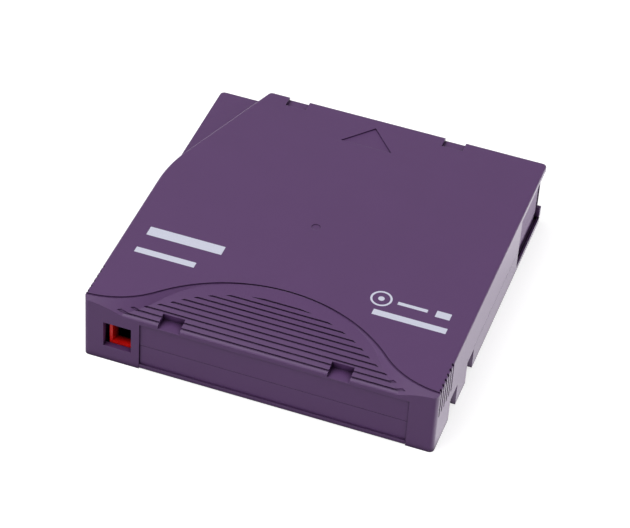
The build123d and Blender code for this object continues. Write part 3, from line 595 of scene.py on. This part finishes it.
def wound_tape(colour):
    """Coated polyester film, wound: its edges show as fine rings round the hub, a few proud.

    The film is 9 micrometres thick, far too fine to show, so the rings are drawn 0.25 mm apart.
    """
    material, tree, shader = blank("tape_polyester_coated_wound")
    where = put(tree, "ShaderNodeTexCoord").outputs["Object"]
    rings = rings_round_reel(tree, where, size=0.25, detail=5.0, roughness=0.7)
    tint = put(
        tree,
        "ShaderNodeMix",
        settings={"data_type": "RGBA"},
        values={6: shade(colour, 0.6), 7: shade(colour, 1.7)},
        feeds={0: rings.outputs["Fac"]},
    )
    relief = put(
        tree,
        "ShaderNodeBump",
        values={"Strength": 0.4, "Distance": 0.03 * MM},
        feeds={"Height": rings.outputs["Fac"]},
    )
    rough = put(
        tree,
        "ShaderNodeMapRange",
        values={"To Min": 0.22, "To Max": 0.42},
        feeds={"Value": rings.outputs["Fac"]},
    )
    tree.links.new(tint.outputs[2], shader.inputs["Base Color"])
    tree.links.new(rough.outputs["Result"], shader.inputs["Roughness"])
    tree.links.new(relief.outputs["Normal"], shader.inputs["Normal"])
    return material


def board_laminate():
    """Glass cloth and epoxy under green solder resist: the cloth's weave shows faintly."""
    material, tree, shader = blank("board_glass_epoxy_solder_resist")
    where = put(tree, "ShaderNodeTexCoord").outputs["Object"]
    weave = put(
        tree,
        "ShaderNodeTexWave",
        settings={"wave_type": "BANDS", "bands_direction": "X"},
        values={"Scale": per_mm(2.5), "Distortion": 0.6, "Detail": 2.0},
        feeds={"Vector": where},
    )
    tint = put(
        tree,
        "ShaderNodeMix",
        settings={"data_type": "RGBA"},
        values={6: (*linear("#0f5a2e"), 1.0), 7: (*linear("#1d7a41"), 1.0)},
        feeds={0: weave.outputs["Fac"]},
    )
    tree.links.new(tint.outputs[2], shader.inputs["Base Color"])
    shader.inputs["Roughness"].default_value = 0.28
    shader.inputs["Coat Weight"].default_value = 0.4
    return material


# Pieces of the object


class CARTRIDGE_OT_case(bpy.types.Operator):
    """Finish the two shells and the door"""

    bl_idname = "cartridge.case"
    bl_label = "Case and door"

    def execute(self, context):
        looks = context.scene.cartridge_case
        grained = moulded_case_plastic(
            "case_polycarbonate_spark_eroded", looks, looks.case_roughness
        )
        for name in ("upper_shell", "lower_shell"):
            dress(name, grained)
        # The door's mould is eroded more coarsely, so its panel mirrors the table's painted pool of
        # light less
        coarser = moulded_case_plastic(
            "door_polycarbonate_coarse_eroded", looks, looks.door_roughness
        )
        dress("access_door", coarser)
        return {"FINISHED"}


class CARTRIDGE_OT_marks(bpy.types.Operator):
    """Print plain bars and a reel sign on the roof"""

    bl_idname = "cartridge.marks"
    bl_label = "Printed marks"

    def ring(self, sign, low, high):
        """Adds the sign's ring: a small upright rectangle, carried once round."""
        section = (
            (SIGN_RING_OUTER, low),
            (SIGN_RING_OUTER, high),
            (SIGN_RING_INNER, high),
            (SIGN_RING_INNER, low),
        )
        rounds = []
        for step in range(SIGN_SIDES):
            angle = 2 * math.pi * step / SIGN_SIDES
            spoke = Vector((math.cos(angle), math.sin(angle), 0))
            spots = [SIGN_CENTRE + spoke * reach + Vector((0, 0, z)) for reach, z in section]
            rounds.append([sign.verts.new(spot * MM) for spot in spots])
        for here, there in zip(rounds, rounds[1:] + rounds[:1]):
            for corner in range(len(section)):
                after = (corner + 1) % len(section)
                sign.faces.new((here[corner], there[corner], there[after], here[after]))

    def dot(self, sign, low, high):
        """Adds the sign's dot, as a flat disc."""
        middle = SIGN_CENTRE + Vector((0, 0, (low + high) / 2))
        bmesh.ops.create_cone(
            sign,
            cap_ends=True,
            segments=SIGN_SIDES,
            radius1=SIGN_DOT_RADIUS * MM,
            radius2=SIGN_DOT_RADIUS * MM,
            depth=(high - low) * MM,
            matrix=Matrix.Translation(middle * MM),
        )

    def execute(self, context):
        looks = context.scene.cartridge_case
        ink = screen_ink(looks)
        low = ROOF_Z / MM
        high = low + looks.mark_thickness / MM
        bars = bmesh.new()
        for left, right, near, far in ROOF_BARS:
            slab(bars, (left, near, low), (right, far, high))
        piece("roof_bars", bars, ink, "case")
        sign = bmesh.new()
        self.ring(sign, low, high)
        self.dot(sign, low, high)
        bmesh.ops.recalc_face_normals(sign, faces=sign.faces)
        piece("roof_reel_sign", sign, ink, "case")
        return {"FINISHED"}


class CARTRIDGE_OT_tab(bpy.types.Operator):
    """Finish the write protect tab"""

    bl_idname = "cartridge.tab"
    bl_label = "Write protect tab"

    def execute(self, context):
        # ABS moulded smooth: the cup's rim gleams, and painted shade takes its red to near black with
        # depth
        looks = context.scene.cartridge_inside
        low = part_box("write_protect_tab")[0]
        red = smooth_plastic(
            "tab_abs_moulded",
            looks.tab_colour,
            roughness=0.25,
            ior=1.53,
            grain=1.2,
            strength=0.1,
            shade_depths=(low.y + TAB_SHADE_START * MM, low.y + TAB_SHADE_BLACK * MM),
        )
        dress("write_protect_tab", red)
        return {"FINISHED"}


class CARTRIDGE_OT_reel(bpy.types.Operator):
    """Finish the hub, the flanges, the drive plate and the wound tape"""

    bl_idname = "cartridge.reel"
    bl_label = "Reel"

    def execute(self, context):
        looks = context.scene.cartridge_inside
        # Natural polycarbonate lets light into its skin, so teeth and rims look milky
        milky = smooth_plastic(
            "reel_polycarbonate_natural",
            looks.hub_colour,
            roughness=0.34,
            ior=1.58,
            grain=2.0,
            strength=0.08,
            through=0.25,
        )
        for name in ("reel_hub", "reel_upper_flange"):
            dress(name, milky)
        # Stamped from rolled stainless sheet and tumbled: fine rings and a soft mirror
        plate = drawn_steel(
            "plate_stainless_stamped",
            looks.steel_colour,
            roughness=0.3,
            pitch=0.3,
            around_reel=True,
        )
        dress("reel_drive_plate", plate)
        dress("tape_pack", wound_tape(looks.tape_colour))
        return {"FINISHED"}


class CARTRIDGE_OT_brake(bpy.types.Operator):
    """Finish the brake button and its release pad"""

    bl_idname = "cartridge.brake"
    bl_label = "Brake"

    def execute(self, context):
        # Acetal moulded smooth: dark, waxy and low in gloss
        looks = context.scene.cartridge_inside
        waxy = smooth_plastic(
            "brake_acetal_moulded",
            looks.dark_colour,
            roughness=0.4,
            ior=1.48,
            grain=1.0,
            strength=0.1,
        )
        for name in ("brake_button", "brake_release_pad"):
            dress(name, waxy)
        return {"FINISHED"}


class CARTRIDGE_OT_pin(bpy.types.Operator):
    """Finish the leader pin, its clip, its spring and the free run of tape"""

    bl_idname = "cartridge.pin"
    bl_label = "Leader pin"

    def execute(self, context):
        looks = context.scene.cartridge_inside
        # Turned stainless bar, polished along its length: fine streaks down the shaft
        bar = drawn_steel("pin_stainless_turned", looks.steel_colour, roughness=0.22, pitch=0.12)
        dress("leader_pin", bar)
        # Rolled spring strip, folded: fine marks of the rolls
        strip = drawn_steel(
            "strip_spring_steel_rolled", looks.steel_colour, roughness=0.32, pitch=0.2
        )
        dress("leader_pin_spring", strip)
        # Glass-filled nylon, moulded: dark with a dry, speckled skin
        clip = smooth_plastic(
            "clip_nylon_glass_filled",
            looks.dark_colour,
            roughness=0.5,
            ior=1.53,
            grain=0.4,
            strength=0.3,
        )
        dress("leader_pin_clip", clip)
        # The coated side of the film: near black and glossy, with faint broad ripples
        film = smooth_plastic(
            "leader_polyester_coated",
            looks.tape_colour,
            roughness=0.18,
            ior=1.6,
            grain=3.0,
            strength=0.05,
        )
        dress("leader_tape", film)
        return {"FINISHED"}


class CARTRIDGE_OT_springs(bpy.types.Operator):
    """Wind the door spring and the brake spring from round wire"""

    bl_idname = "cartridge.springs"
    bl_label = "Coil springs"

    def coil(self, node_name, along, turns, thick, sides):
        """A coil of round wire that fills a node's box, with a closed turn at each end."""
        low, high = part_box(node_name)
        middle = (low + high) / 2
        size = high - low
        one, two = (axis for axis in range(3) if axis != along)
        radius = (min(size[one], size[two]) - thick) / 2
        length = size[along] - thick
        closed_rise = thick * CLOSED_TURN_RISE
        open_rise = (length - 2 * closed_rise) / (turns - 2)
        centres = []
        for step in range(turns * COIL_STEPS + 1):
            turn = step / COIL_STEPS
            if turn < 1:
                rise = closed_rise * turn
            elif turn > turns - 1:
                rise = length - closed_rise * (turns - turn)
            else:
                rise = closed_rise + open_rise * (turn - 1)
            centre = Vector(middle)
            centre[one] += radius * math.cos(2 * math.pi * turn)
            centre[two] += radius * math.sin(2 * math.pi * turn)
            centre[along] = low[along] + thick / 2 + rise
            centres.append(centre)
        shape = bmesh.new()
        tube(shape, centres, thick / 2, sides)
        return shape

    def execute(self, context):
        looks = context.scene.cartridge_inside
        # Drawn music wire: bright, with fine marks of the die
        wire = drawn_steel(
            "spring_music_wire_drawn", looks.steel_colour, roughness=0.25, pitch=0.15
        )
        shape = self.coil("door_spring", 1, DOOR_TURNS, DOOR_WIRE, looks.wire_sides)
        door = piece("door_spring_coil", shape, wire, "case", smooth_angle=40)
        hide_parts("door_spring")
        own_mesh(door)
        shape = self.coil("brake_spring", 2, BRAKE_TURNS, BRAKE_WIRE, looks.wire_sides)
        brake = piece("brake_spring_coil", shape, wire, "case", smooth_angle=40)
        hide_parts("brake_spring")
        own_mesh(brake)
        return {"FINISHED"}


class CARTRIDGE_OT_board(bpy.types.Operator):
    """Finish the memory board and lay its aerial"""

    bl_idname = "cartridge.board"
    bl_label = "Memory board"

    def execute(self, context):
        dress("memory_board", board_laminate())
        # Epoxy cast over the chip: near black and matt, with a fine speckle
        resin = smooth_plastic(
            "chip_epoxy_cast",
            linear("#17171a"),
            roughness=0.45,
            ior=1.55,
            grain=0.3,
            strength=0.2,
        )
        dress("memory_chip", resin)
        # Plated copper track: the turns of an aerial round the chip, bright with fine streaks
        copper = drawn_steel("track_copper_plated", linear("#c98a4b"), roughness=0.3, pitch=0.2)
        low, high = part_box("memory_board")
        middle = (low + high) / 2
        slant = Matrix.Rotation(BOARD_SLANT, 4, "X")
        lift = Matrix.Translation((0, 0, TRACK_LIFT * MM))
        place = Matrix.Translation(middle) @ slant @ lift
        track = bmesh.new()
        wide, tall = TRACK_HALF_WIDTH, TRACK_HALF_HEIGHT
        for turn in range(TRACK_TURNS):
            across = TRACK_REACH_ACROSS - TRACK_PITCH * turn
            along = TRACK_REACH_ALONG - TRACK_PITCH * turn
            for side in (-1, 1):
                row, column = side * along, side * across
                slab(track, (-across, row - wide, -tall), (across, row + wide, tall))
                slab(track, (column - wide, -along, -tall), (column + wide, along, tall))
        bmesh.ops.transform(track, matrix=place, verts=track.verts)
        piece("memory_aerial", track, copper, "case")
        return {"FINISHED"}


class CARTRIDGE_OT_screws(bpy.types.Operator):
    """Make the four case screws with cross recesses and rolled threads"""

    bl_idname = "cartridge.screws"
    bl_label = "Case screws"

    def screw(self, shape, place, foot, tip, pitch):
        """Adds one screw, head down, between two heights: its rows of corners, joined by faces.

        A row whose distance from the axis is left open belongs to the rolled thread.
        """
        outline = [(reach, foot + rise) for reach, rise in SCREW_HEAD]
        neck = outline[-1][1]
        for row in range(1, THREAD_ROWS + 1):
            outline.append((None, neck + THREAD_LENGTH * row / THREAD_ROWS))
        outline += [(SCREW_TIP_RADIUS, tip - SCREW_TIP_RISE), (0.0, tip)]
        rings = []
        for reach, z in outline:
            sides = 1 if reach == 0.0 else SCREW_SIDES
            ring = []
            for side in range(sides):
                radius = reach
                if reach is None:
                    phase = (z / pitch - side / SCREW_SIDES) % 1.0
                    crest = max(0.0, 1 - abs(phase - 0.5) * THREAD_STEEPNESS)
                    radius = THREAD_CORE_RADIUS + THREAD_DEPTH * crest
                angle = 2 * math.pi * side / SCREW_SIDES
                spot = Vector((radius * math.cos(angle), radius * math.sin(angle), z))
                ring.append(shape.verts.new((place + spot) * MM))
            rings.append(ring)
        for before, after in zip(rings, rings[1:]):
            for side in range(SCREW_SIDES):
                there = (side + 1) % SCREW_SIDES
                if len(before) == 1:
                    shape.faces.new((before[0], after[there], after[side]))
                elif len(after) == 1:
                    shape.faces.new((before[side], before[there], after[0]))
                else:
                    shape.faces.new((before[side], before[there], after[there], after[side]))

    def recess(self, shape, place, foot):
        """Adds the two crossed bars that cut one screw's recess."""
        span, width = RECESS_HALF_SPAN, RECESS_HALF_WIDTH
        low, high = foot - RECESS_CLEAR, foot + RECESS_DEPTH
        for turned in (RECESS_TURN, RECESS_TURN + 90):
            arm = bmesh.new()
            slab(arm, (-span, -width, low), (span, width, high))
            turn = Matrix.Rotation(math.radians(turned), 4, "Z")
            bmesh.ops.transform(arm, matrix=Matrix.Translation(place * MM) @ turn, verts=arm.verts)
            held = bpy.data.meshes.new("recess_arm")
            arm.to_mesh(held)
            arm.free()
            shape.from_mesh(held)
            bpy.data.meshes.remove(held)

    def cut(self, context, screws, recesses):
        """Cuts the recesses out of the screws for good, and drops the cutter."""
        mesh = bpy.data.meshes.new("recess_cutter")
        recesses.to_mesh(mesh)
        recesses.free()
        cutter = bpy.data.objects.new("recess_cutter", mesh)
        context.collection.objects.link(cutter)
        boolean = screws.modifiers.new("recess", "BOOLEAN")
        boolean.operation = "DIFFERENCE"
        boolean.solver = "EXACT"
        boolean.use_self = True
        boolean.object = cutter
        context.view_layer.update()
        seen = screws.evaluated_get(context.evaluated_depsgraph_get())
        finished = bpy.data.meshes.new_from_object(seen)
        screws.modifiers.clear()
        screws.data = finished
        bpy.data.objects.remove(cutter)

    def execute(self, context):
        looks = context.scene.cartridge_inside
        # Steel, rolled and black passivated: a dark, oily sheen
        steel = drawn_steel(
            "screw_steel_black_passivated", linear("#55555a"), roughness=0.35, pitch=0.3
        )
        low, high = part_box("case_screws")
        foot, tip = low.z / MM, high.z / MM
        blanks = bmesh.new()
        recesses = bmesh.new()
        for x, y in SCREW_PLACES:
            place = Vector((x, y, 0))
            self.screw(blanks, place, foot, tip, looks.thread_pitch / MM)
            self.recess(recesses, place, foot)
        bmesh.ops.recalc_face_normals(blanks, faces=blanks.faces)
        screws = piece("case_screw_set", blanks, steel, "case", smooth_angle=35)
        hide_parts("case_screws")
        self.cut(context, screws, recesses)
        return {"FINISHED"}


class CARTRIDGE_OT_stage(bpy.types.Operator):
    """Set the floor, the soft light and the camera"""

    bl_idname = "cartridge.stage"
    bl_label = "Floor, light and camera"

    def floor(self, context, looks):
        """White table, which the camera sees as near white, with the object's shadow kept, and a
        painted pool of light that only glossy rays see.
        """
        material, tree, shader = blank("table_white_laminate")
        shader.inputs["Base Color"].default_value = (TABLE_GREY, TABLE_GREY, TABLE_GREY, 1.0)
        shader.inputs["Roughness"].default_value = 0.7
        where = put(tree, "ShaderNodeTexCoord").outputs["Object"]
        grain = put(
            tree, "ShaderNodeTexNoise", values={"Scale": per_mm(1.2)}, feeds={"Vector": where}
        )
        relief = put(
            tree,
            "ShaderNodeBump",
            values={"Strength": 0.02, "Distance": 0.02 * MM},
            feeds={"Height": grain.outputs["Fac"]},
        )
        tree.links.new(relief.outputs["Normal"], shader.inputs["Normal"])
        # The camera sees the table as white, and glossy rays alone see a painted pool of light on it,
        # brightest beside the case's two ends, which the right side shows as a painted reflection
        path = put(tree, "ShaderNodeLightPath")
        across = put(
            tree,
            "ShaderNodeVectorMath",
            settings={"operation": "DOT_PRODUCT"},
            values={1: (1.0, 1.0, 0.0)},
            feeds={0: where},
        )
        reach = put(
            tree,
            "ShaderNodeMapRange",
            values={"From Min": POOL_START, "From Max": POOL_END},
            feeds={"Value": across.outputs["Value"]},
        )
        painted_pool_ramp = put(tree, "ShaderNodeValToRGB", feeds={"Fac": reach.outputs["Result"]})
        stops = painted_pool_ramp.color_ramp.elements
        stops[0].color = (0.0, 0.0, 0.0, 1.0)
        stops[1].color = (1.0, 1.0, 1.0, 1.0)
        for place, level in POOL_LEVELS:
            stops.new(place).color = (level, level, level, 1.0)
        pool = put(
            tree,
            "ShaderNodeMath",
            settings={"operation": "MULTIPLY"},
            values={1: POOL_BRIGHTEST},
            feeds={0: painted_pool_ramp.outputs["Color"]},
        )
        mirrored = put(
            tree,
            "ShaderNodeMath",
            settings={"operation": "MULTIPLY"},
            feeds={0: pool.outputs["Value"], 1: path.outputs["Is Glossy Ray"]},
        )
        glow = put(
            tree,
            "ShaderNodeMath",
            settings={"operation": "MULTIPLY_ADD"},
            values={1: TABLE_GLOW},
            feeds={0: path.outputs["Is Camera Ray"], 2: mirrored.outputs["Value"]},
        )
        tree.links.new(glow.outputs["Value"], shader.inputs["Emission Strength"])
        shader.inputs["Emission Color"].default_value = (1.0, 1.0, 1.0, 1.0)
        plane = bmesh.new()
        bmesh.ops.create_grid(plane, x_segments=1, y_segments=1, size=looks.floor_size / 2)
        mesh = bpy.data.meshes.new("table")
        plane.to_mesh(mesh)
        plane.free()
        mesh.materials.append(material)
        table = bpy.data.objects.new("table", mesh)
        context.collection.objects.link(table)

    def lamp(self, context, name, place, size, power):
        """One large soft lamp that faces the object."""
        light = bpy.data.lights.new(name, "AREA")
        light.shape = "SQUARE"
        light.size = size
        light.energy = power
        lamp = bpy.data.objects.new(name, light)
        context.collection.objects.link(lamp)
        lamp.location = place
        lamp.rotation_mode = "QUATERNION"
        lamp.rotation_quaternion = (-Vector(place)).to_track_quat("-Z", "Y")

    def sky(self, context, looks):
        """Even pale light all round, white for the camera, with a painted reflection of a bright
        backdrop low down, seen only by glossy rays.
        """
        world = bpy.data.worlds.new("studio")
        world.use_nodes = True
        tree = world.node_tree
        tree.nodes.clear()
        path = put(tree, "ShaderNodeLightPath")
        # Painted reflection: a bright band low down that only glossy rays see, which rounded edges
        # that lean back mirror as a bright line
        ray = put(tree, "ShaderNodeTexCoord").outputs["Generated"]
        slope = put(tree, "ShaderNodeSeparateXYZ", feeds={"Vector": ray}).outputs["Z"]
        height = put(
            tree, "ShaderNodeMath", settings={"operation": "ABSOLUTE"}, feeds={0: slope}
        )
        backdrop = put(
            tree,
            "ShaderNodeMapRange",
            values={
                "From Min": BACKDROP_FULL,
                "From Max": BACKDROP_GONE,
                "To Min": BACKDROP_LEVEL,
                "To Max": 0.0,
            },
            feeds={"Value": height.outputs["Value"]},
        )
        level = put(
            tree,
            "ShaderNodeMath",
            settings={"operation": "MULTIPLY_ADD"},
            values={2: looks.sky_strength},
            feeds={0: backdrop.outputs["Result"], 1: path.outputs["Is Glossy Ray"]},
        )
        soft = put(
            tree,
            "ShaderNodeBackground",
            values={"Color": (1.0, 1.0, 1.0, 1.0)},
            feeds={"Strength": level.outputs["Value"]},
        )
        white = put(
            tree,
            "ShaderNodeBackground",
            values={"Color": (1.0, 1.0, 1.0, 1.0), "Strength": 1.0},
        )
        both = put(
            tree,
            "ShaderNodeMixShader",
            feeds={
                0: path.outputs["Is Camera Ray"],
                1: soft.outputs["Background"],
                2: white.outputs["Background"],
            },
        )
        put(tree, "ShaderNodeOutputWorld", feeds={"Surface": both.outputs["Shader"]})
        context.scene.world = world

    def camera(self, context, looks):
        """Camera at the photograph's viewing angle."""
        data = bpy.data.cameras.new("camera")
        data.sensor_width = 36.0
        data.lens = looks.lens
        data.clip_start, data.clip_end = 0.01, 50.0
        camera = bpy.data.objects.new("camera", data)
        context.collection.objects.link(camera)
        right = Vector(looks.camera_right).normalized()
        ahead = Vector(looks.camera_ahead).normalized()
        up = right.cross(ahead)
        turn = Matrix((right, up, -ahead)).transposed()
        camera.matrix_world = Matrix.Translation(looks.camera_place) @ turn.to_4x4()
        context.scene.camera = camera

    def execute(self, context):
        looks = context.scene.cartridge_stage
        self.floor(context, looks)
        self.sky(context, looks)
        self.lamp(context, "key_overhead", KEY_PLACE, KEY_SIZE, looks.key_power)
        self.lamp(context, "fill_front", FILL_PLACE, FILL_SIZE, looks.fill_power)
        self.camera(context, looks)
        context.scene.view_settings.view_transform = "Standard"
        return {"FINISHED"}


class CARTRIDGE_PT_panel(bpy.types.Panel):
    """Lists the cartridge's pieces and its looks"""

    bl_idname = "CARTRIDGE_PT_panel"
    bl_label = "Data tape cartridge"
    bl_space_type = "VIEW_3D"
    bl_region_type = "UI"
    bl_category = "Cartridge"

    def draw(self, context):
        layout = self.layout
        for group in LOOKS:
            box = layout.box()
            for name in group.__annotations__:
                box.prop(getattr(context.scene, LOOKS[group]), name)
        for operator in OPERATORS:
            layout.operator(operator.bl_idname)


LOOKS = {
    CartridgeCaseLooks: "cartridge_case",
    CartridgeInsideLooks: "cartridge_inside",
    CartridgeStageLooks: "cartridge_stage",
}
OPERATORS = (
    CARTRIDGE_OT_case,
    CARTRIDGE_OT_marks,
    CARTRIDGE_OT_tab,
    CARTRIDGE_OT_reel,
    CARTRIDGE_OT_brake,
    CARTRIDGE_OT_pin,
    CARTRIDGE_OT_springs,
    CARTRIDGE_OT_board,
    CARTRIDGE_OT_screws,
    CARTRIDGE_OT_stage,
)


def register():
    for group, name in LOOKS.items():
        bpy.utils.register_class(group)
        setattr(bpy.types.Scene, name, PointerProperty(type=group))
    for operator in OPERATORS:
        bpy.utils.register_class(operator)
    bpy.utils.register_class(CARTRIDGE_PT_panel)


def unregister():
    bpy.utils.unregister_class(CARTRIDGE_PT_panel)
    for operator in reversed(OPERATORS):
        bpy.utils.unregister_class(operator)
    for group, name in LOOKS.items():
        delattr(bpy.types.Scene, name)
        bpy.utils.unregister_class(group)


def main():
    register()
    for operator in OPERATORS:
        family, name = operator.bl_idname.split(".")
        getattr(getattr(bpy.ops, family), name)()


if __name__ == "__main__":
    main()
